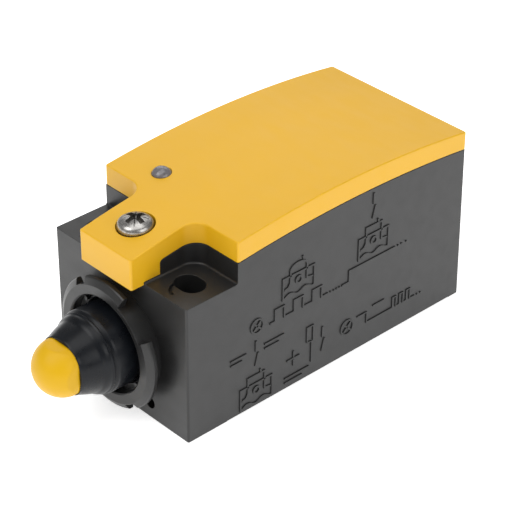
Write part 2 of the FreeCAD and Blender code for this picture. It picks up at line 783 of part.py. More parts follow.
def chip(x, y, size_x, size_y, height, legs):
    """A black chip package with its pins, standing on the board."""
    x0 = x - size_x / 2
    y0 = y - size_y / 2
    top = BOARD_TOP + height
    body = box(x0, x0 + size_x, y0, y0 + size_y, BOARD_TOP + 0.15, top)
    body = body.cut(rod_z(0.3, top - 0.1, top + 1, x0 + 0.8, y0 + 0.8))
    return body.multiFuse(legs).removeSplitter()


def make_hall_sensor():
    return chip(HALL_X, 0, 2.6, 3.0, 1.1, gull_wing_legs(HALL_X, 0, 1.3, 2, 1.9, 0.5))


def make_microcontroller():
    legs = gull_wing_legs(CHIP_X, CHIP_Y, 2.2, 7, 0.65, 0.7)
    return chip(CHIP_X, CHIP_Y, 4.4, 5.2, 1.4, legs)


def make_output_transistors():
    return group([chip(x, y, 4.6, 6.0, 2.0, gull_wing_legs(x, y, 2.3, 3, 1.8, 1.0)) for x, y in OUTPUTS])


def make_filter_capacitor():
    body = rod_z(2.0, BOARD_TOP, BOARD_TOP + 2.2, CAPACITOR_X)
    return body.makeFillet(0.3, edges_on(body, lambda p: p.z > BOARD_TOP + 2.1))


def make_chip_resistors():
    top = BOARD_TOP + 0.55
    return group([box(x - 0.5, x + 0.5, y - 1.0, y + 1.0, BOARD_TOP, top) for x, y in RESISTORS])


def make_status_led():
    base = box(LENS_X - 1.0, LENS_X + 1.0, LENS_Y - 0.8, LENS_Y + 0.8, BOARD_TOP, BOARD_TOP + 0.7)
    dome = Part.makeSphere(0.75, V(LENS_X, LENS_Y, BOARD_TOP + 0.7))
    dome = dome.cut(rod_z(1.0, BOARD_TOP - 1, BOARD_TOP + 0.2, LENS_X, LENS_Y))
    return base.fuse(dome).removeSplitter()


def make_set_button_case():
    half = BUTTON_CASE / 2
    top = BOARD_TOP + BUTTON_CASE_H
    case = box(BUTTON_X - half, BUTTON_X + half, BUTTON_Y - half, BUTTON_Y + half, BOARD_TOP, top)
    case = case.makeChamfer(0.6, upright_edges(case))
    return case.cut(rod_z(BUTTON_CAP_R + 0.15, top - BUTTON_RECESS, REACH, BUTTON_X, BUTTON_Y))


def make_set_button_cap():
    cap = rod_z(BUTTON_CAP_R, BUTTON_CAP_BOTTOM_Z, BUTTON_CAP_TOP_Z, BUTTON_X, BUTTON_Y)
    return cap.makeFillet(0.4, edges_on(cap, lambda p: p.z > BUTTON_CAP_TOP_Z - 0.1))


# ---------------------------------------------------------------- terminals
def make_terminal_block():
    block = box(BLOCK_X, BLOCK_END_X, -BLOCK_HALF_WIDTH, BLOCK_HALF_WIDTH, BOARD_TOP, BLOCK_TOP_Z)
    cuts = [box(BLOCK_END_X - 2.0, REACH, -REACH, REACH, BLOCK_STEP_Z, REACH)]
    pocket_bottom = CLAMP_BOTTOM_Z - 0.4
    pocket_top = CLAMP_TOP_Z + 0.3
    for y in POLES:
        left = y - WIRE_POCKET_HALF
        cuts.append(box(WIRE_POCKET_X, REACH, left, left + 2 * WIRE_POCKET_HALF, pocket_bottom, pocket_top))
        cuts.append(rod_z(2.0, CLAMP_TOP_Z, REACH, CLAMP_X, y))
        cuts.append(pin_hole(y, CLAMP_BOTTOM_Z))
    for cut in cuts:
        block = block.cut(cut)
    return block.removeSplitter()


def make_terminal_clamps():
    """Square cages that a screw pulls up, with a window for the wire and a threaded hole in the top."""
    clamps = []
    x0 = CLAMP_X - CLAMP_HALF_X
    x1 = CLAMP_X + CLAMP_HALF_X
    window_top = CLAMP_TOP_Z - 1.6
    for y in POLES:
        cage = box(x0, x1, y - CLAMP_HALF_Y, y + CLAMP_HALF_Y, CLAMP_BOTTOM_Z, CLAMP_TOP_Z)
        window = box(0, REACH, y - CLAMP_WINDOW, y + CLAMP_WINDOW, CLAMP_BOTTOM_Z + 0.8, window_top)
        screw_hole = rod_z(CLAMP_WINDOW, window_top - 1, REACH, CLAMP_X, y)
        clamps.append(cage.cut(window).cut(screw_hole))
    return group(clamps)


def make_terminal_screws():
    screws = []
    for y in POLES:
        head = rod_z(1.85, CLAMP_TOP_Z + 0.6, CLAMP_TOP_Z + 2.6, CLAMP_X, y)
        shank = rod_z(1.25, CLAMP_TOP_Z - 1.6, CLAMP_TOP_Z + 0.6, CLAMP_X, y)
        slot = box(CLAMP_X - 3, CLAMP_X + 3, y - 0.3, y + 0.3, CLAMP_TOP_Z + 1.8, REACH)
        screws.append(head.fuse(shank).cut(slot).removeSplitter())
    return group(screws)


def make_terminal_pins():
    """Current bars that each clamp pulls a wire against, with legs soldered into the board."""
    pins = []
    for y in POLES:
        bar_bottom = PIN_BAR_TOP_Z - PIN_BAR_THICK
        bar = box(PIN_X, PIN_BAR_END_X, y - 1.1, y + 1.1, bar_bottom, PIN_BAR_TOP_Z)
        leg = box(PIN_X, PIN_LEG_END_X, y - 0.5, y + 0.5, BOARD_Z - 0.8, PIN_BAR_TOP_Z)
        pins.append(bar.fuse(leg).removeSplitter())
    return group(pins)


# ---------------------------------------------------------------- cover fittings
def make_light_guide():
    """A clear rod that carries the lamp's light from the board to a domed lens in the cover."""
    rim_z = arc_point(TOP_CREST_X, TOP_CREST_Z, TOP_R, LENS_X).z
    dome_r = (LENS_R**2 + LENS_DOME**2) / (2 * LENS_DOME)
    head = rod_z(LENS_R, LENS_HEAD_Z, rim_z + LENS_DOME, LENS_X, LENS_Y)
    head = head.common(Part.makeSphere(dome_r, V(LENS_X, LENS_Y, rim_z + LENS_DOME - dome_r)))
    return head.fuse(rod_z(GUIDE_R, GUIDE_BOTTOM_Z, LENS_HEAD_Z, LENS_X, LENS_Y)).removeSplitter()


def make_cover_screw():
    head = rod_z(SCREW_HEAD_R, SCREW_SEAT_Z, SCREW_TOP_Z, SCREW_X)
    head = head.common(Part.makeSphere(SCREW_DOME_R, V(SCREW_X, 0, SCREW_TOP_Z - SCREW_DOME_R)))
    head = head.makeFillet(SCREW_SHOULDER_R, edges_on(head, lambda p: p.z > SCREW_SEAT_Z + 0.5))
    shank = rod_z(SCREW_SHANK_R, SCREW_END_Z, SCREW_SEAT_Z, SCREW_X)
    shank = shank.makeChamfer(0.4, edges_on(shank, lambda p: p.z < SCREW_END_Z + 0.1))
    recess = cross_recess(SCREW_X, 0, SCREW_TOP_Z, RECESS_SPAN, RECESS_WIDTH, RECESS_DEPTH)
    screw = head.fuse(shank).cut(recess)
    half_tick = TICK_WIDTH / 2
    marks = box(-TICK_SPAN / 2, TICK_SPAN / 2, -half_tick, half_tick, SCREW_TOP_Z - 0.9, SCREW_TOP_Z + 1)
    for turn in (45, 135):
        mark = marks.copy()
        mark.rotate(V(0, 0, 0), Z_DIR, turn)
        mark.translate(V(SCREW_X, 0, 0))
        screw = screw.cut(mark)
    return screw.removeSplitter()


def make_screw_retainer():
    ring = rod_z(RETAINER_R, BOSS_BOTTOM_Z - RETAINER_THICK, BOSS_BOTTOM_Z, SCREW_X)
    return ring.cut(rod_z(SCREW_SHANK_R, 0, REACH, SCREW_X))


def make_screw_insert():
    insert = rod_z(INSERT_R, INSERT_BOTTOM_Z, STEP_Z - 0.1, SCREW_X)
    groove = rod_z(3.0, 21.2, 22.0, SCREW_X).cut(rod_z(INSERT_R - 0.3, 0, REACH, SCREW_X))
    return insert.cut(groove).cut(rod_z(SCREW_SHANK_R + 0.1, 0, REACH, SCREW_X))


NODES = {
    "housing": make_housing,
    "cover": make_cover,
    "cover_gasket": make_cover_gasket,
    "cover_screw": make_cover_screw,
    "screw_retainer": make_screw_retainer,
    "screw_insert": make_screw_insert,
    "light_guide": make_light_guide,
    "bayonet_collar": make_bayonet_collar,
    "sealing_boot": make_sealing_boot,
    "plunger_tip": make_plunger_tip,
    "plunger_stem": make_plunger_stem,
    "magnet": make_magnet,
    "stem_clip": make_stem_clip,
    "guide_bush": make_guide_bush,
    "return_spring": make_return_spring,
    "circuit_board": make_circuit_board,
    "board_screws": make_board_screws,
    "hall_sensor": make_hall_sensor,
    "microcontroller": make_microcontroller,
    "output_transistors": make_output_transistors,
    "filter_capacitor": make_filter_capacitor,
    "chip_resistors": make_chip_resistors,
    "status_led": make_status_led,
    "set_button_case": make_set_button_case,
    "set_button_cap": make_set_button_cap,
    "terminal_block": make_terminal_block,
    "terminal_clamps": make_terminal_clamps,
    "terminal_screws": make_terminal_screws,
    "terminal_pins": make_terminal_pins,
}

os.makedirs("parts", exist_ok=True)
for node, make in NODES.items():
    shape = make()
    bounds = shape.optimalBoundingBox()
    corners = [bounds.XMin, bounds.YMin, bounds.ZMin, bounds.XMax, bounds.YMax, bounds.ZMax]
    print(node, "valid" if shape.isValid() else "INVALID", len(shape.Solids), "solids",
          round(shape.Volume, 2), "mm3", [round(c, 2) for c in corners])
    shape.exportStep(f"parts/{node}.step")
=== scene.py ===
"""Looks of the limit switch: its materials, soft and fine pieces, the studio and the camera.

Everything is in the CAD frame: +X from the plunger to the cable entry, +Z from the mounting face
to the cover. Blender works in metres, so lengths written in millimetres are multiplied by MM.
"""

import json
import math

import bmesh
import bpy
from mathutils import Matrix, Vector


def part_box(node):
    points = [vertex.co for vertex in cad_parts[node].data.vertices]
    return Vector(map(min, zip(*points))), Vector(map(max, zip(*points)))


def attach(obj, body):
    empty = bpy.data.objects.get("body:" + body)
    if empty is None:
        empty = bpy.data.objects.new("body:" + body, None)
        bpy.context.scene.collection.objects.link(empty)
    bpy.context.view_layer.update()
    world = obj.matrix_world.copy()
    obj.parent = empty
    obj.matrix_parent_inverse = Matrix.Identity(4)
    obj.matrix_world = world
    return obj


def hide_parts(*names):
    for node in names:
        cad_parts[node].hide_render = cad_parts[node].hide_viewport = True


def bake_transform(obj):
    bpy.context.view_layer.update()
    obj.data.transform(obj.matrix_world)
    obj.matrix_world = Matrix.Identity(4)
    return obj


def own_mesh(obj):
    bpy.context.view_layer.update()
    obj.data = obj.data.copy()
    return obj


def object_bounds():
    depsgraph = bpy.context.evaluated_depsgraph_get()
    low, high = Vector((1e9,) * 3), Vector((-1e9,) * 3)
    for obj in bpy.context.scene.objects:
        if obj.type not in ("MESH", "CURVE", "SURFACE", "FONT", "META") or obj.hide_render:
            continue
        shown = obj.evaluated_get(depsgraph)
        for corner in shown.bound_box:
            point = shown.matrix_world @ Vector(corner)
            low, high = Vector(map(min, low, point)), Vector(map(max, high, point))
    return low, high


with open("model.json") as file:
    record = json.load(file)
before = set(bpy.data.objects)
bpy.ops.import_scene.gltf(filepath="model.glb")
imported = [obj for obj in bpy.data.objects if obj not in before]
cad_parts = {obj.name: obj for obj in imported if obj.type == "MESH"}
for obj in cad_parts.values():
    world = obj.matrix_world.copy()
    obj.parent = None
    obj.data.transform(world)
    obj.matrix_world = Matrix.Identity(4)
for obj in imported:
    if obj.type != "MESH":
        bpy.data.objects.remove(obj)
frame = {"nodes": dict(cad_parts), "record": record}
cad_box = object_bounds()

MM = 0.001
SLOT_OF = {part["node"]: part["material_slot"] for part in frame["record"]["subparts"]}

# Camera, on the frame's axes. The lens and the sensor are in millimetres, CAMERA_NEAR in metres.
CAMERA_PLACE = Vector((-161.2, -197.3, 191.7)) * MM
CAMERA_AZIMUTH = math.radians(-43.05)
CAMERA_ELEVATION = math.radians(33.24)
CAMERA_ROLL = math.radians(0.36)
CAMERA_LENS = 140.2
CAMERA_SENSOR = 36.0
CAMERA_NEAR = 0.01

# The plunger's axis runs along X, at y = 0 and at this height.
AXIS_Z = (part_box("sealing_boot")[0].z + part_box("sealing_boot")[1].z) / 2

# Sealing boot: places along the plunger's axis, and radii about it, in millimetres.
BOOT_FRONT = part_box("sealing_boot")[0].x / MM
BOOT_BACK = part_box("sealing_boot")[1].x / MM
BEAD_X = BOOT_FRONT + 4.9
FLANGE_X = BOOT_BACK - 0.85
LIP_R = 4.90
SHOULDER_R = 6.02
SWELL_R = 6.62
BEAD_R = 6.78
GROOVE_R = 6.55
TUBE_R = 7.0
FLANGE_R = 8.40
BORE_R = 6.0
STEM_HOLE_R = 2.06
TURN_STEPS = 128

# The boot's square recess fits the foot of the plunger tip with a gap all round.
TIP_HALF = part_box("plunger_tip")[1].y / MM
TIP_CORNER = 2.85
TIP_GAP = 0.06

# Return spring. Its closed turns climb by CLOSED_PITCH wire radii each.
WIRE_R = 0.22 * MM
SPRING_TURNS = 6.5
CLOSED_TURNS = 0.75
CLOSED_PITCH = 2.05

# Cover screw's thread: a ridge as deep as THREAD_DEPTH, its foot sunk in the shank.
SHANK_R = 1.5 * MM
THREAD_START = 0.5 * MM
THREAD_LENGTH = 7.5 * MM
THREAD_PITCH = 0.7 * MM
THREAD_DEPTH = 0.06 * MM
THREAD_SINK = 0.05 * MM
THREAD_FLANK = THREAD_PITCH * 0.42
THREAD_STEPS = 36

# Relief marks on the side wall, in millimetres. A line's width is at its foot, which is sunk in
# the wall, and its crest reaches CREST_SHARE of that width to each side.
WALL_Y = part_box("housing")[0].y
MARK_HEIGHT = 0.17
MARK_SINK = 0.05
CREST_SHARE = 0.38
MARK_WIDTH = 0.38
CONTACT_WIDTH = 0.40
PLUS_WIDTH = 0.36
FINE_WIDTH = 0.30
DELAY_WIDTH = 0.28
DOT_LENGTH = 0.26
BAR_SPACING = 0.85
PICTURE_WIDTH = 6.7
SQUARE_BUTTON = 1.6
ROUND_BUTTON = 1.9
ARCH_HEIGHT = 1.0

# Places of the marks, as (x, z) in millimetres. Lamps have a radius, pictures say whether their
# button is rounded, and captions have the length of each bar.
LAMPS = ((9.1, 15.4, 1.25), (29.0, 5.7, 1.35))
CONTACTS = ((34.1, 29.1), (8.9, 12.7), (23.4, 8.5))
PICTURES = ((14.5, 18.0, True), (31.1, 18.0, False), (5.65, 1.1, False))
PLUS = (17.0, 5.45)
DRIVER = (19.95, 2.85)
CAPTIONS = (
    (3.6, 11.2, (3.3, 2.4)),
    (10.7, 11.2, (4.2, 3.1)),
    (15.1, 2.2, (5.4, 3.9)),
    (34.9, 7.2, (2.7,)),
)

# Studio, in metres and watts. Each softbox has a name, a place, a size and a power, and is aimed
# at the middle of the switch.
FLOOR_HALF = 3.0
FLOOR_GLOW = 0.68
SKY_STRENGTH = 0.28
SOFTBOXES = (
    ("key_left", (-0.55, 0.10, 0.62), (0.50, 0.45), 2.6),
    ("overhead", (0.00, -0.10, 0.85), (0.8, 0.6), 3.0),
    ("rear", (0.62, 0.66, 0.60), (1.1, 0.7), 2.6),
    ("front_right", (0.10, -0.75, 0.42), (0.7, 0.4), 1.9),
)


# ---------------------------------------------------------------- materials
# Sockets of the mix node when it mixes colours: the share and the two colours, and the result.
MIX_COLOUR_INPUTS = (0, 6, 7)
MIX_COLOUR_RESULT = 2


class Finish:
    """A procedural material, put together node by node in object coordinates."""

    def __init__(self, name):
        self.material = bpy.data.materials.new(name)
        self.material.use_nodes = True
        self.tree = self.material.node_tree
        self.shader = self.tree.nodes["Principled BSDF"]
        self.place = self.add("ShaderNodeTexCoord").outputs["Object"]

    def add(self, kind, sockets=None, **settings):
        node = self.tree.nodes.new(kind)
        for name, value in settings.items():
            setattr(node, name, value)
        for name, value in (sockets or {}).items():
            self.feed(node.inputs[name], value)
        return node

    def feed(self, socket, value):
        if isinstance(value, bpy.types.NodeSocket):
            self.tree.links.new(value, socket)
        else:
            socket.default_value = value

    def shade(self, values):
        for name, value in values.items():
            self.feed(self.shader.inputs[name], value)

    def noise(self, size, detail=3.0, stretch=(1, 1, 1)):
        """Random values about 0.5, with lumps of about the size in millimetres."""
        mapping = self.add("ShaderNodeMapping", {"Vector": self.place, "Scale": stretch})
        sockets = {"Vector": mapping.outputs["Vector"], "Scale": 1 / (size * MM), "Detail": detail}
        return self.add("ShaderNodeTexNoise", sockets).outputs["Fac"]

    def spots(self, size, reach):
        """1 at the middle of scattered spots, 0 from the reach on, a share of their spacing."""
        sockets = {"Vector": self.place, "Scale": 1 / (size * MM)}
        distance = self.add("ShaderNodeTexVoronoi", sockets).outputs["Distance"]
        return self.spread(distance, 0.0, reach, 1.0, 0.0)

    def spread(self, value, start, end, low, high):
        """The value's range from start to end, carried to the range from low to high."""
        ranges = {"From Min": start, "From Max": end, "To Min": low, "To Max": high}
        return self.add("ShaderNodeMapRange", {"Value": value, **ranges}).outputs["Result"]

    def times(self, first, second):
        node = self.add("ShaderNodeMath", operation="MULTIPLY")
        self.feed(node.inputs[0], first)
        self.feed(node.inputs[1], second)
        return node.outputs[0]

    def mix(self, share, first, second):
        """A colour that goes from the first to the second as the share goes from 0 to 1."""
        node = self.add("ShaderNodeMix", data_type="RGBA")
        for index, value in zip(MIX_COLOUR_INPUTS, (share, first, second)):
            self.feed(node.inputs[index], value)
        return node.outputs[MIX_COLOUR_RESULT]

    def soft_normal(self, radius):
        """A normal that turns smoothly over sharp edges, as on a moulded or tumbled part."""
        return self.add("ShaderNodeBevel", {"Radius": radius * MM}, samples=4).outputs["Normal"]

    def edge_mask(self, normal):
        """Towards 1 where the softened normal leaves the face's own, broken up by noise."""
        own = self.add("ShaderNodeNewGeometry").outputs["Normal"]
        dot = self.add("ShaderNodeVectorMath", operation="DOT_PRODUCT")
        self.feed(dot.inputs[0], normal)
        self.feed(dot.inputs[1], own)
        edge = self.spread(dot.outputs["Value"], 0.995, 0.85, 0.0, 1.0)
        return self.times(edge, self.spread(self.noise(1.3), 0.35, 0.65, 0.15, 1.0))

    def bump(self, height, distance, normal):
        """The normal, tilted by a height of 0 to 1 that stands for the distance in millimetres."""
        sockets = {"Height": height, "Distance": distance * MM, "Normal": normal}
        return self.add("ShaderNodeBump", sockets).outputs["Normal"]


def colour(red, green, blue):
    return (red, green, blue, 1.0)


def grey(level):
    return colour(level, level, level)


def scaled(base, factor):
    return colour(*(channel * factor for channel in base[:3]))


def moulded(name, base, worn, rough, grain, depth, edge=0.25, mottle=0.05, wear=0.5, shine=0.5):
    """A moulded part: grain from the tool, faint flow marks, scuffed roughness, paler edges."""
    finish = Finish(name)
    flow = finish.spread(finish.noise(14.0, 2.0, (0.35, 1.0, 1.0)), 0.3, 0.7, 0.0, 1.0)
    specks = finish.spots(0.9, 0.16)
    body = finish.mix(flow, scaled(base, 1 - mottle), scaled(base, 1 + mottle))
    dotted = finish.mix(finish.times(specks, 0.10), body, worn)
    normal = finish.soft_normal(edge)
    mask = finish.times(finish.edge_mask(normal), wear)
    scuffs = finish.noise(2.2, 5.0, (1.0, 0.4, 1.0))
    fine = finish.noise(grain, 2.0)
    broad = finish.bump(finish.noise(6.0, 1.0), 0.012, normal)
    finish.shade(
        {
            "Base Color": finish.mix(mask, dotted, worn),
            "Roughness": finish.spread(scuffs, 0.3, 0.7, *rough),
            "Normal": finish.bump(fine, depth, broad),
            "Specular IOR Level": shine,
        }
    )
    return finish.material


def rubber(name, base, dust, rough):
    """Moulded rubber: a satin skin with fine pores and a thin film of dust in patches."""
    finish = Finish(name)
    patches = finish.spread(finish.noise(3.5, 4.0), 0.45, 0.8, 0.0, 0.5)
    normal = finish.soft_normal(0.15)
    pores = finish.bump(finish.noise(0.16, 2.0), 0.004, normal)
    finish.shade(
        {
            "Base Color": finish.mix(patches, base, dust),
            "Roughness": finish.spread(finish.noise(1.8, 4.0), 0.3, 0.7, *rough),
            "Normal": finish.bump(finish.noise(3.4, 1.0), 0.010, pores),
            "Specular IOR Level": 0.22,
        }
    )
    return finish.material


def metal(name, base, tarnish, rough, stretch=(1, 1, 1)):
    """Bare or plated metal: drawn or turned scratches, patches of tarnish and bright edges."""
    finish = Finish(name)
    normal = finish.soft_normal(0.12)
    lines = finish.noise(0.12, 3.0, stretch)
    stains = finish.spread(finish.noise(0.9, 4.0), 0.42, 0.7, 0.0, 0.7)
    stained = finish.mix(stains, base, tarnish)
    finish.shade(
        {
            "Base Color": finish.mix(finish.edge_mask(normal), stained, scaled(base, 1.15)),
            "Metallic": 1.0,
            "Roughness": finish.spread(lines, 0.3, 0.7, *rough),
            "Normal": finish.bump(lines, 0.003, normal),
        }
    )
    return finish.material


def laminate(name, resist, cut_edge):
    """Solder resist over woven glass, with the weave as a faint crossed ripple and paler edges."""
    finish = Finish(name)
    weave = []
    for direction in ("X", "Y"):
        sockets = {"Vector": finish.place, "Scale": 380.0}
        wave = finish.add("ShaderNodeTexWave", sockets, bands_direction=direction)
        weave.append(wave.outputs["Fac"])
    cloth = finish.times(*weave)
    normal = finish.soft_normal(0.1)
    threads = finish.spread(cloth, 0.0, 1.0, 0.0, 0.5)
    tinted = finish.mix(threads, resist, scaled(resist, 1.6))
    finish.shade(
        {
            "Base Color": finish.mix(finish.edge_mask(normal), tinted, cut_edge),
            "Roughness": finish.spread(finish.noise(1.0, 4.0), 0.3, 0.7, 0.22, 0.42),
            "Normal": finish.bump(cloth, 0.006, normal),
            "Coat Weight": 0.3,
        }
    )
    return finish.material


def smoked_lens(name, tint, haze):
    """A clear moulding with a violet tint, slightly hazed."""
    finish = Finish(name)
    cloud = finish.spread(finish.noise(0.7, 3.0), 0.3, 0.7, 0.0, 1.0)
    normal = finish.soft_normal(0.12)
    finish.shade(
        {
            "Base Color": finish.mix(cloud, tint, haze),
            "Roughness": finish.spread(finish.noise(0.5, 4.0), 0.3, 0.7, 0.10, 0.24),
            "Normal": finish.bump(finish.noise(0.35, 2.0), 0.003, normal),
            "Transmission Weight": 0.45,
            "IOR": 1.49,
            "Coat Weight": 0.4,
        }
    )
    return finish.material


DARK_GREY = grey(0.013)
WORN_GREY = grey(0.075)
YELLOW = colour(0.75, 0.41, 0.004)
WORN_YELLOW = colour(0.84, 0.52, 0.06)
TIP_YELLOW = colour(0.69, 0.395, 0.001)
WORN_TIP = colour(0.86, 0.56, 0.05)
# The boot's black and its dust patches carry a slight blue that is painted sheen, standing for the
# blue-grey reflections on the rubber; the lighter patches themselves are dust.
RUBBER_BLACK = colour(0.005, 0.006, 0.008)
RUBBER_DUST_AND_SHEEN = colour(0.014, 0.016, 0.020)
CARRIER = colour(0.03, 0.03, 0.033)
BUSH = colour(0.74, 0.72, 0.64)
WORN_BUSH = colour(0.85, 0.84, 0.80)
STEEL = colour(0.43, 0.42, 0.40)
DULL_STEEL = colour(0.20, 0.19, 0.18)
SPRING_WIRE = colour(0.56, 0.56, 0.57)
DULL_WIRE = colour(0.35, 0.34, 0.33)
BRASS = colour(0.72, 0.53, 0.22)
DULL_BRASS = colour(0.45, 0.30, 0.12)
NICKEL = colour(0.66, 0.65, 0.62)
DULL_NICKEL = colour(0.5, 0.49, 0.47)
RESIST_GREEN = colour(0.012, 0.13, 0.045)
BOARD_EDGE = colour(0.30, 0.24, 0.10)
CHIP = colour(0.018, 0.018, 0.019)
CAN = colour(0.78, 0.78, 0.79)
RESISTOR = colour(0.04, 0.04, 0.05)
RESISTOR_END = colour(0.6, 0.58, 0.52)
LED_RESIN = colour(0.82, 0.79, 0.66)
WORN_RESIN = colour(0.9, 0.88, 0.8)
TERMINAL = colour(0.42, 0.44, 0.45)
WORN_TERMINAL = colour(0.62, 0.63, 0.63)
PLATING = colour(0.68, 0.66, 0.60)
DULL_PLATING = colour(0.45, 0.43, 0.38)
LENS = colour(0.22, 0.215, 0.235)
LENS_HAZE = colour(0.31, 0.30, 0.33)
BUTTON_RED = colour(0.46, 0.03, 0.02)
WORN_RED = colour(0.7, 0.2, 0.15)

# Each slot's material. The colours are the base and the worn, dusty or dull one, and the pair is
# the range of the roughness. Then a moulded part has its grain's size and depth in millimetres,
# and a metal how its scratches are stretched along each axis.
MATERIALS = {
    "housing_grey": moulded("housing_grey", DARK_GREY, WORN_GREY, (0.34, 0.44), 0.16, 0.006, edge=0.16),
    "cover_yellow": moulded(
        "cover_yellow", YELLOW, WORN_YELLOW, (0.38, 0.48), 0.14, 0.004, edge=0.12, mottle=0.02
    ),
    "tip_yellow": moulded(
        "tip_yellow", TIP_YELLOW, WORN_TIP, (0.40, 0.50), 0.30, 0.003, mottle=0.03, shine=0.3
    ),
    "boot_rubber": rubber("boot_rubber", RUBBER_BLACK, RUBBER_DUST_AND_SHEEN, (0.24, 0.36)),
    "gasket_rubber": rubber("gasket_rubber", grey(0.018), grey(0.05), (0.55, 0.75)),
    "carrier_plastic": moulded("carrier_plastic", CARRIER, grey(0.12), (0.35, 0.5), 0.2, 0.005),
    "bush_polymer": moulded("bush_polymer", BUSH, WORN_BUSH, (0.3, 0.45), 0.2, 0.004),
    "screw_steel": metal("screw_steel", STEEL, DULL_STEEL, (0.20, 0.40), (1.0, 1.0, 0.4)),
    "spring_steel": metal("spring_steel", SPRING_WIRE, DULL_WIRE, (0.2, 0.38)),
    "insert_brass": metal("insert_brass", BRASS, DULL_BRASS, (0.22, 0.4), (0.3, 0.3, 3.0)),
    "magnet_metal": metal("magnet_metal", NICKEL, DULL_NICKEL, (0.1, 0.22)),
    "board_laminate": laminate("board_laminate", RESIST_GREEN, BOARD_EDGE),
    "chip_black": moulded("chip_black", CHIP, grey(0.07), (0.5, 0.68), 0.08, 0.006, edge=0.08),
    "capacitor_can": metal("capacitor_can", CAN, grey(0.6), (0.2, 0.34), (1.0, 1.0, 0.15)),
    "resistor_ceramic": moulded(
        "resistor_ceramic", RESISTOR, RESISTOR_END, (0.2, 0.35), 0.1, 0.003, edge=0.2
    ),
    "led_body": moulded("led_body", LED_RESIN, WORN_RESIN, (0.15, 0.3), 0.2, 0.002, edge=0.1),
    "terminal_plastic": moulded("terminal_plastic", TERMINAL, WORN_TERMINAL, (0.4, 0.55), 0.15, 0.006),
    "terminal_plating": metal("terminal_plating", PLATING, DULL_PLATING, (0.25, 0.45), (0.3, 1.0, 1.0)),
    "lens_clear": smoked_lens("lens_clear", LENS, LENS_HAZE),
    "button_cap": moulded("button_cap", BUTTON_RED, WORN_RED, (0.25, 0.4), 0.2, 0.004),
}


def finish_cad_nodes():
    for name, node in frame["nodes"].items():
        for slot in node.material_slots:
            slot.material = MATERIALS[SLOT_OF[name]]


# ---------------------------------------------------------------- mesh helpers
def add_piece(name, builder, slot, smooth=False):
    """A new object in the slot's material, from a bmesh."""
    bmesh.ops.recalc_face_normals(builder, faces=builder.faces)
    mesh = bpy.data.meshes.new(name)
    builder.to_mesh(mesh)
    builder.free()
    if smooth:
        mesh.shade_smooth()
    piece = bpy.data.objects.new(name, mesh)
    bpy.context.scene.collection.objects.link(piece)
    mesh.materials.append(MATERIALS[slot])
    return piece


def skin_rings(builder, rings, closed):
    """Quads between rings of the same number of points.

    Closed joins the last ring to the first; otherwise a face caps each end.
    """
    rows = [[builder.verts.new(point) for point in ring] for ring in rings]
    pairs = list(zip(rows, rows[1:]))
    if closed:
        pairs.append((rows[-1], rows[0]))
    for near, far in pairs:
        for i in range(len(near)):
            j = (i + 1) % len(near)
            builder.faces.new((near[i], near[j], far[j], far[i]))
    if not closed:
        builder.faces.new(rows[0])
        builder.faces.new(rows[-1])


# ---------------------------------------------------------------- sealing boot
def rounded_square_radius(angle, half, corner):
    """How far a square with rounded corners reaches from its centre at an angle."""
    folded = abs((angle + math.pi / 4) % (math.pi / 2) - math.pi / 4)
    centre = half - corner
    flat_reach = half / math.cos(folded)
    if flat_reach * math.sin(folded) <= centre:
        return flat_reach
    along = centre * (math.cos(folded) + math.sin(folded))
    return along + math.sqrt(max(corner**2 - 2 * centre**2 + along**2, 0.0))


def arc_profile(start, end, bulge, steps):
    """(x, radius) points from start to end, bowed outwards by the bulge at the middle."""
    points = []
    across = Vector((start[1] - end[1], end[0] - start[0])).normalized()
    for i in range(steps + 1):
        share = i / steps
        lift = bulge * 4 * share * (1 - share)
        x = start[0] + (end[0] - start[0]) * share + across.x * lift
        r = start[1] + (end[1] - start[1]) * share + across.y * lift
        points.append((x, r))
    return points


def straight_profile(start, end, steps):
    return arc_profile(start, end, 0.0, steps)


def boot_outside():
    """The sleeve's outline from the lip to the back of the flange."""
    nose = arc_profile((BOOT_FRONT + 0.22, LIP_R), (BEAD_X - 1.60, SHOULDER_R), 0.05, 10)
    swell = arc_profile((BEAD_X - 1.45, SHOULDER_R + 0.08), (BEAD_X - 0.30, SWELL_R), 0.12, 10)
    bead = arc_profile((BEAD_X - 0.22, BEAD_R), (BEAD_X + 0.02, BEAD_R), 0.06, 5)
    groove = [
        (BEAD_X + 0.10, SWELL_R),
        (BEAD_X + 0.18, GROOVE_R),
        (BEAD_X + 0.30, SWELL_R),
        (BEAD_X + 0.42, TUBE_R - 0.16),
    ]
    tube = straight_profile((BEAD_X + 0.60, TUBE_R - 0.03), (FLANGE_X - 0.35, TUBE_R), 14)
    root = arc_profile((FLANGE_X - 0.30, TUBE_R + 0.02), (FLANGE_X, TUBE_R + 0.30), -0.07, 4)
    flange = [(FLANGE_X, FLANGE_R - 0.10), (FLANGE_X + 0.06, FLANGE_R), (BOOT_BACK, FLANGE_R)]
    return nose + swell + bead + groove + tube + root + flange


def boot_inside():
    """The sleeve's outline from the back of its bore to the stem's hole in the nose."""
    bore = straight_profile((FLANGE_X, BORE_R), (BEAD_X - 0.4, BORE_R), 14)
    nose = [
        (BOOT_FRONT + 2.3, 5.2),
        (BOOT_FRONT + 1.55, 4.5),
        (BOOT_FRONT + 1.55, STEM_HOLE_R),
        (BOOT_FRONT + 0.40, STEM_HOLE_R),
    ]
    return [(BOOT_BACK, BORE_R)] + bore + nose


def boot_ring(x, reach_at):
    """Points round the plunger's axis at x, as far from it as reach_at gives for each angle."""
    ring = []
    for i in range(TURN_STEPS):
        angle = 2 * math.pi * i / TURN_STEPS
        reach = reach_at(angle) * MM
        ring.append(Vector((x * MM, reach * math.cos(angle), AXIS_Z + reach * math.sin(angle))))
    return ring


def recess(margin):
    """The reach of the square recess for the tip, wider by the margin."""
    half = TIP_HALF + TIP_GAP + margin
    return lambda angle: rounded_square_radius(angle, half, TIP_CORNER + TIP_GAP + margin)


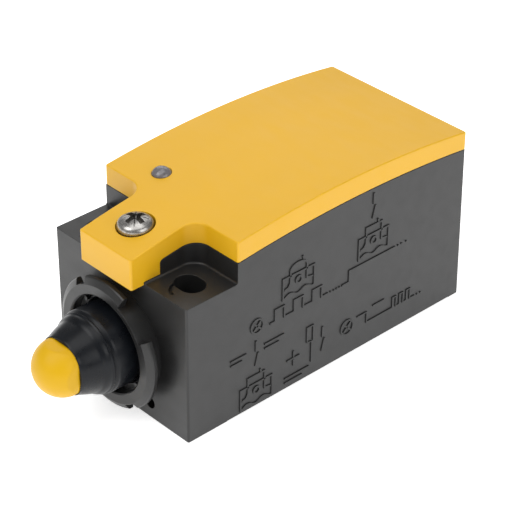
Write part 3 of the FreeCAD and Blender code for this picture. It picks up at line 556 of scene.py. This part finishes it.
def make_boot():
    """The rubber sleeve: a bowed nose with a soft lip, a bead with a groove behind it, a tube."""
    rings = [boot_ring(x, lambda angle, r=r: r) for x, r in boot_outside() + boot_inside()]
    for depth, margin in ((0.40, -0.06), (0.34, 0.0), (0.10, 0.0), (0.02, 0.03), (0.0, 0.08)):
        rings.append(boot_ring(BOOT_FRONT + depth, recess(margin)))
    edge = recess(0.08)
    rings.append(boot_ring(BOOT_FRONT + 0.01, lambda angle: max(LIP_R - 0.24, edge(angle) + 0.03)))
    rings.append(boot_ring(BOOT_FRONT + 0.08, lambda angle: max(LIP_R - 0.12, edge(angle) + 0.06)))
    builder = bmesh.new()
    skin_rings(builder, rings, closed=True)
    boot = add_piece("boot_sleeve", builder, "boot_rubber", smooth=True)
    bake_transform(boot)
    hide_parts("sealing_boot")


# ---------------------------------------------------------------- spring and thread
def coil_rings(foot_x, radius, length, steps_per_turn=40, sides=10):
    """Rings of a round wire coiled along the plunger's axis, with closed turns at each end."""
    closed_length = WIRE_R * CLOSED_PITCH * 2 * CLOSED_TURNS
    open_length = length - 2 * WIRE_R - closed_length
    rings = []
    for i in range(int(SPRING_TURNS * steps_per_turn) + 1):
        turn = i / steps_per_turn
        free = min(max((turn - CLOSED_TURNS) / (SPRING_TURNS - 2 * CLOSED_TURNS), 0.0), 1.0)
        closed = min(turn, CLOSED_TURNS) + max(turn - (SPRING_TURNS - CLOSED_TURNS), 0.0)
        x = foot_x + WIRE_R + WIRE_R * CLOSED_PITCH * closed + free * open_length
        angle = 2 * math.pi * turn
        outward = Vector((0, math.cos(angle), math.sin(angle)))
        middle = Vector((x, 0, AXIS_Z)) + outward * radius
        ring = []
        for k in range(sides):
            around = 2 * math.pi * k / sides
            along = Vector((WIRE_R * math.sin(around), 0, 0))
            ring.append(middle + outward * (WIRE_R * math.cos(around)) + along)
        rings.append(ring)
    return rings


def make_spring():
    low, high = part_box("return_spring")
    radius = (high.y - low.y) / 2 - WIRE_R
    length = high.x - low.x
    builder = bmesh.new()
    skin_rings(builder, coil_rings(low.x, radius, length), closed=False)
    spring = add_piece("spring_coil", builder, "spring_steel", smooth=True)
    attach(spring, "enclosure")
    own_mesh(spring)
    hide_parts("return_spring")


def make_screw_thread():
    """A triangular ridge that climbs round the cover screw's shank and fades out at both ends."""
    low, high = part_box("cover_screw")
    axis = (low + high) / 2
    foot = low.z + THREAD_START
    total = int(THREAD_LENGTH / THREAD_PITCH * THREAD_STEPS)
    root = SHANK_R - THREAD_SINK
    flank = Vector((0, 0, THREAD_FLANK))
    rings = []
    for i in range(total + 1):
        angle = 2 * math.pi * i / THREAD_STEPS
        fade = min(1.0, i / THREAD_STEPS, (total - i) / THREAD_STEPS)
        outward = Vector((math.cos(angle), math.sin(angle), 0))
        centre = Vector((axis.x, axis.y, foot + THREAD_PITCH * i / THREAD_STEPS))
        crest = centre + outward * (SHANK_R + THREAD_DEPTH * fade)
        valley = centre + outward * root
        rings.append([valley - flank, crest, valley + flank])
    builder = bmesh.new()
    skin_rings(builder, rings, closed=False)
    thread = add_piece("cover_screw_thread", builder, "screw_steel")
    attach(thread, "cover")


# ---------------------------------------------------------------- marks on the side wall
def raised_line(builder, path, width=MARK_WIDTH, closed=False):
    """A ridge with steep flanks along a path of (x, z) points in millimetres on the side wall."""
    points = [Vector(point) for point in path]
    count = len(points)
    section = (
        (-width / 2, -MARK_SINK),
        (-width * CREST_SHARE, MARK_HEIGHT),
        (width * CREST_SHARE, MARK_HEIGHT),
        (width / 2, -MARK_SINK),
    )
    rings = []
    for i, here in enumerate(points):
        ways = []
        if closed or i > 0:
            ways.append((here - points[i - 1]).normalized())
        if closed or i < count - 1:
            ways.append((points[(i + 1) % count] - here).normalized())
        along = sum(ways, Vector((0, 0))).normalized()
        side = Vector((-along.y, along.x))
        stretch = 1 / max(along.dot(ways[0]), 0.4)
        ring = []
        for across, out in section:
            spot = here + side * (across * stretch)
            ring.append(Vector((spot.x * MM, WALL_Y - out * MM, spot.y * MM)))
        rings.append(ring)
    skin_rings(builder, rings, closed=closed)


def circle_path(x, z, radius, steps=28):
    angles = [2 * math.pi * i / steps for i in range(steps)]
    return [(x + radius * math.cos(angle), z + radius * math.sin(angle)) for angle in angles]


def lamp_mark(builder, x, z, radius):
    """A circle with a cross in it, the sign for a lamp."""
    raised_line(builder, circle_path(x, z, radius), closed=True)
    reach = (radius - MARK_WIDTH / 2) * math.sqrt(0.5)
    raised_line(builder, [(x - reach, z - reach), (x + reach, z + reach)])
    raised_line(builder, [(x - reach, z + reach), (x + reach, z - reach)])


def contact_mark(builder, x, top):
    """An open contact: a fixed lead above and a slanted moving lead below."""
    slanted = [(x + 0.5, top - 2.35), (x + 0.35, top - 2.9), (x - 0.1, top - 4.7)]
    raised_line(builder, [(x, top), (x, top - 2.0)], CONTACT_WIDTH)
    raised_line(builder, slanted, CONTACT_WIDTH)


def plus_mark(builder, x, z, reach=1.4, gap=0.2):
    """A cross whose upright is cut where the level bar passes."""
    raised_line(builder, [(x - reach, z), (x + reach, z)], PLUS_WIDTH)
    raised_line(builder, [(x, z - reach), (x, z - gap)], PLUS_WIDTH)
    raised_line(builder, [(x, z + gap), (x, z + reach)], PLUS_WIDTH)


def dots_mark(builder, places, z):
    for x in places:
        raised_line(builder, [(x - DOT_LENGTH / 2, z), (x + DOT_LENGTH / 2, z)], FINE_WIDTH)


def button_path(left, right, foot, top, rounded):
    """The outline of a push button that stands on its foot."""
    if not rounded:
        return [(left, foot), (left, top), (right, top), (right, foot)]
    middle = (left + right) / 2
    half = (right - left) / 2
    arch = []
    for i in range(11):
        angle = math.pi * (1 - i / 10)
        lift = ARCH_HEIGHT * math.sin(angle)
        arch.append((middle + half * math.cos(angle), top - ARCH_HEIGHT + lift))
    return [(left, foot)] + arch + [(right, foot)]


def switch_mark(builder, x, z, rounded):
    """A small picture of a push button on a broken-off housing, from its lower left corner."""
    end = x + PICTURE_WIDTH
    top = z + 3.5
    left = x + 1.55
    right = x + 5.1
    high = top + (ROUND_BUTTON if rounded else SQUARE_BUTTON)
    wave = []
    for i in range(17):
        wave.append((x + PICTURE_WIDTH * i / 16, z + 0.30 * math.sin(math.pi * i / 4 - 1.2)))
    raised_line(builder, wave + [(end, top), (x, top)], closed=True)
    raised_line(builder, button_path(left, right, top, high, rounded))
    raised_line(builder, [(right - 0.75, high + 0.1), (right - 0.95, high + 0.75)])
    left_arm = [(x + 0.3, z + 1.35), (x + 1.1, z + 1.55), (left, z + 2.3), (left + 0.05, top)]
    raised_line(builder, left_arm)
    raised_line(builder, [(right, top), (right, z + 1.75), (end - 0.3, z + 1.55)])
    raised_line(builder, circle_path(x + 3.4, z + 2.15, 0.62, 18), closed=True)


def pulse_path(start, spacing, on, low, high):
    """Three square pulses, the first of which rises at the start."""
    path = []
    for i in range(3):
        rise = start + spacing * i
        path += [(rise, low), (rise, high), (rise + on, high), (rise + on, low)]
    return path


def pulse_mark(builder):
    """Three pulses, a break, and a signal that stays on."""
    low = 14.5
    high = 16.6
    pulses = pulse_path(12.9, 4.05, 1.95, low, high)
    raised_line(builder, [(11.8, low)] + pulses + [(24.4, low)])
    dots_mark(builder, (25.0, 25.7, 26.35, 27.0), low)
    raised_line(builder, [(27.5, low), (29.1, low), (29.1, high), (39.6, high)])
    dots_mark(builder, (40.3, 41.1, 42.2), high)


def delay_mark(builder):
    """A signal that drops, waits, and goes on as a run of quick pulses."""
    low = 4.6
    high = 6.6
    drop = [(31.3, high), (33.5, high), (33.5, low)]
    pulses = pulse_path(39.6, 1.66, 0.83, low, high)
    raised_line(builder, drop + pulses + [(45.0, low)], DELAY_WIDTH)
    dots_mark(builder, (45.6, 46.4), low)


def driver_mark(builder, x, z):
    """A screwdriver: a long handle above a thin blade."""
    handle = [(x, z + 4.2), (x, z + 7.0), (x + 1.35, z + 7.0), (x + 1.35, z + 4.1)]
    raised_line(builder, handle, FINE_WIDTH)
    raised_line(builder, [(x, z + 4.2), (x + 1.0, z + 4.0), (x + 1.0, z)], FINE_WIDTH)


def caption_bars(builder, x, z, lengths):
    """Plain bars that stand where a caption would be."""
    for i, length in enumerate(lengths):
        level = z - BAR_SPACING * i
        raised_line(builder, [(x, level), (x + length, level)], FINE_WIDTH)


def make_side_marks():
    builder = bmesh.new()
    for lamp in LAMPS:
        lamp_mark(builder, *lamp)
    pulse_mark(builder)
    delay_mark(builder)
    for contact in CONTACTS:
        contact_mark(builder, *contact)
    for picture in PICTURES:
        switch_mark(builder, *picture)
    plus_mark(builder, *PLUS)
    driver_mark(builder, *DRIVER)
    for caption in CAPTIONS:
        caption_bars(builder, *caption)
    marks = add_piece("side_marks", builder, "housing_grey")
    # The marks are moulded in the wall's own plastic; their darker grey, with less pale edging, is
    # painted shade for the shadows along the raised lines.
    marks.data.materials[0] = moulded(
        "mark_painted_shade_grey", grey(0.010), WORN_GREY, (0.36, 0.46), 0.16, 0.004, edge=0.04, wear=0.2
    )
    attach(marks, "enclosure")


# ---------------------------------------------------------------- studio
def make_floor():
    builder = bmesh.new()
    bmesh.ops.create_grid(builder, x_segments=8, y_segments=8, size=FLOOR_HALF)
    mesh = bpy.data.meshes.new("floor")
    builder.to_mesh(mesh)
    builder.free()
    floor = bpy.data.objects.new("floor", mesh)
    bpy.context.scene.collection.objects.link(floor)
    floor.location.z = cad_box[0].z
    finish = Finish("floor_paper")
    finish.shade(
        {
            "Base Color": finish.mix(finish.noise(60.0), grey(0.93), grey(0.95)),
            "Roughness": 0.9,
            "Specular IOR Level": 0.1,
            "Emission Color": grey(1.0),
            "Emission Strength": FLOOR_GLOW,
        }
    )
    mesh.materials.append(finish.material)


def add_softbox(name, place, aim, size, power):
    lamp = bpy.data.lights.new(name, "AREA")
    lamp.shape = "RECTANGLE"
    lamp.size, lamp.size_y = size
    lamp.energy = power
    softbox = bpy.data.objects.new(name, lamp)
    softbox.location = place
    softbox.rotation_euler = (aim - Vector(place)).to_track_quat("-Z", "Y").to_euler()
    softbox.visible_camera = False
    bpy.context.scene.collection.objects.link(softbox)


def make_studio():
    world = bpy.data.worlds.new("studio")
    bpy.context.scene.world = world
    world.use_nodes = True
    background = world.node_tree.nodes["Background"]
    background.inputs["Color"].default_value = grey(1.0)
    background.inputs["Strength"].default_value = SKY_STRENGTH
    middle = (cad_box[0] + cad_box[1]) / 2
    for name, place, size, power in SOFTBOXES:
        add_softbox(name, place, middle, size, power)
    bpy.context.scene.view_settings.view_transform = "Standard"


def make_camera():
    camera = bpy.data.cameras.new("camera")
    camera.lens = CAMERA_LENS
    camera.sensor_width = CAMERA_SENSOR
    camera.clip_start = CAMERA_NEAR
    holder = bpy.data.objects.new("camera", camera)
    flat = math.cos(CAMERA_ELEVATION)
    back = Vector(
        (
            math.sin(CAMERA_AZIMUTH) * flat,
            -math.cos(CAMERA_AZIMUTH) * flat,
            math.sin(CAMERA_ELEVATION),
        )
    )
    level_right = Vector((math.cos(CAMERA_AZIMUTH), math.sin(CAMERA_AZIMUTH), 0))
    level_up = back.cross(level_right)
    right = level_right * math.cos(CAMERA_ROLL) + level_up * math.sin(CAMERA_ROLL)
    up = level_up * math.cos(CAMERA_ROLL) - level_right * math.sin(CAMERA_ROLL)
    turned = Matrix((right, up, back)).transposed().to_4x4()
    holder.matrix_world = Matrix.Translation(CAMERA_PLACE) @ turned
    bpy.context.scene.collection.objects.link(holder)
    bpy.context.scene.camera = holder


finish_cad_nodes()
make_boot()
make_spring()
make_screw_thread()
make_side_marks()
make_floor()
make_studio()
make_camera()
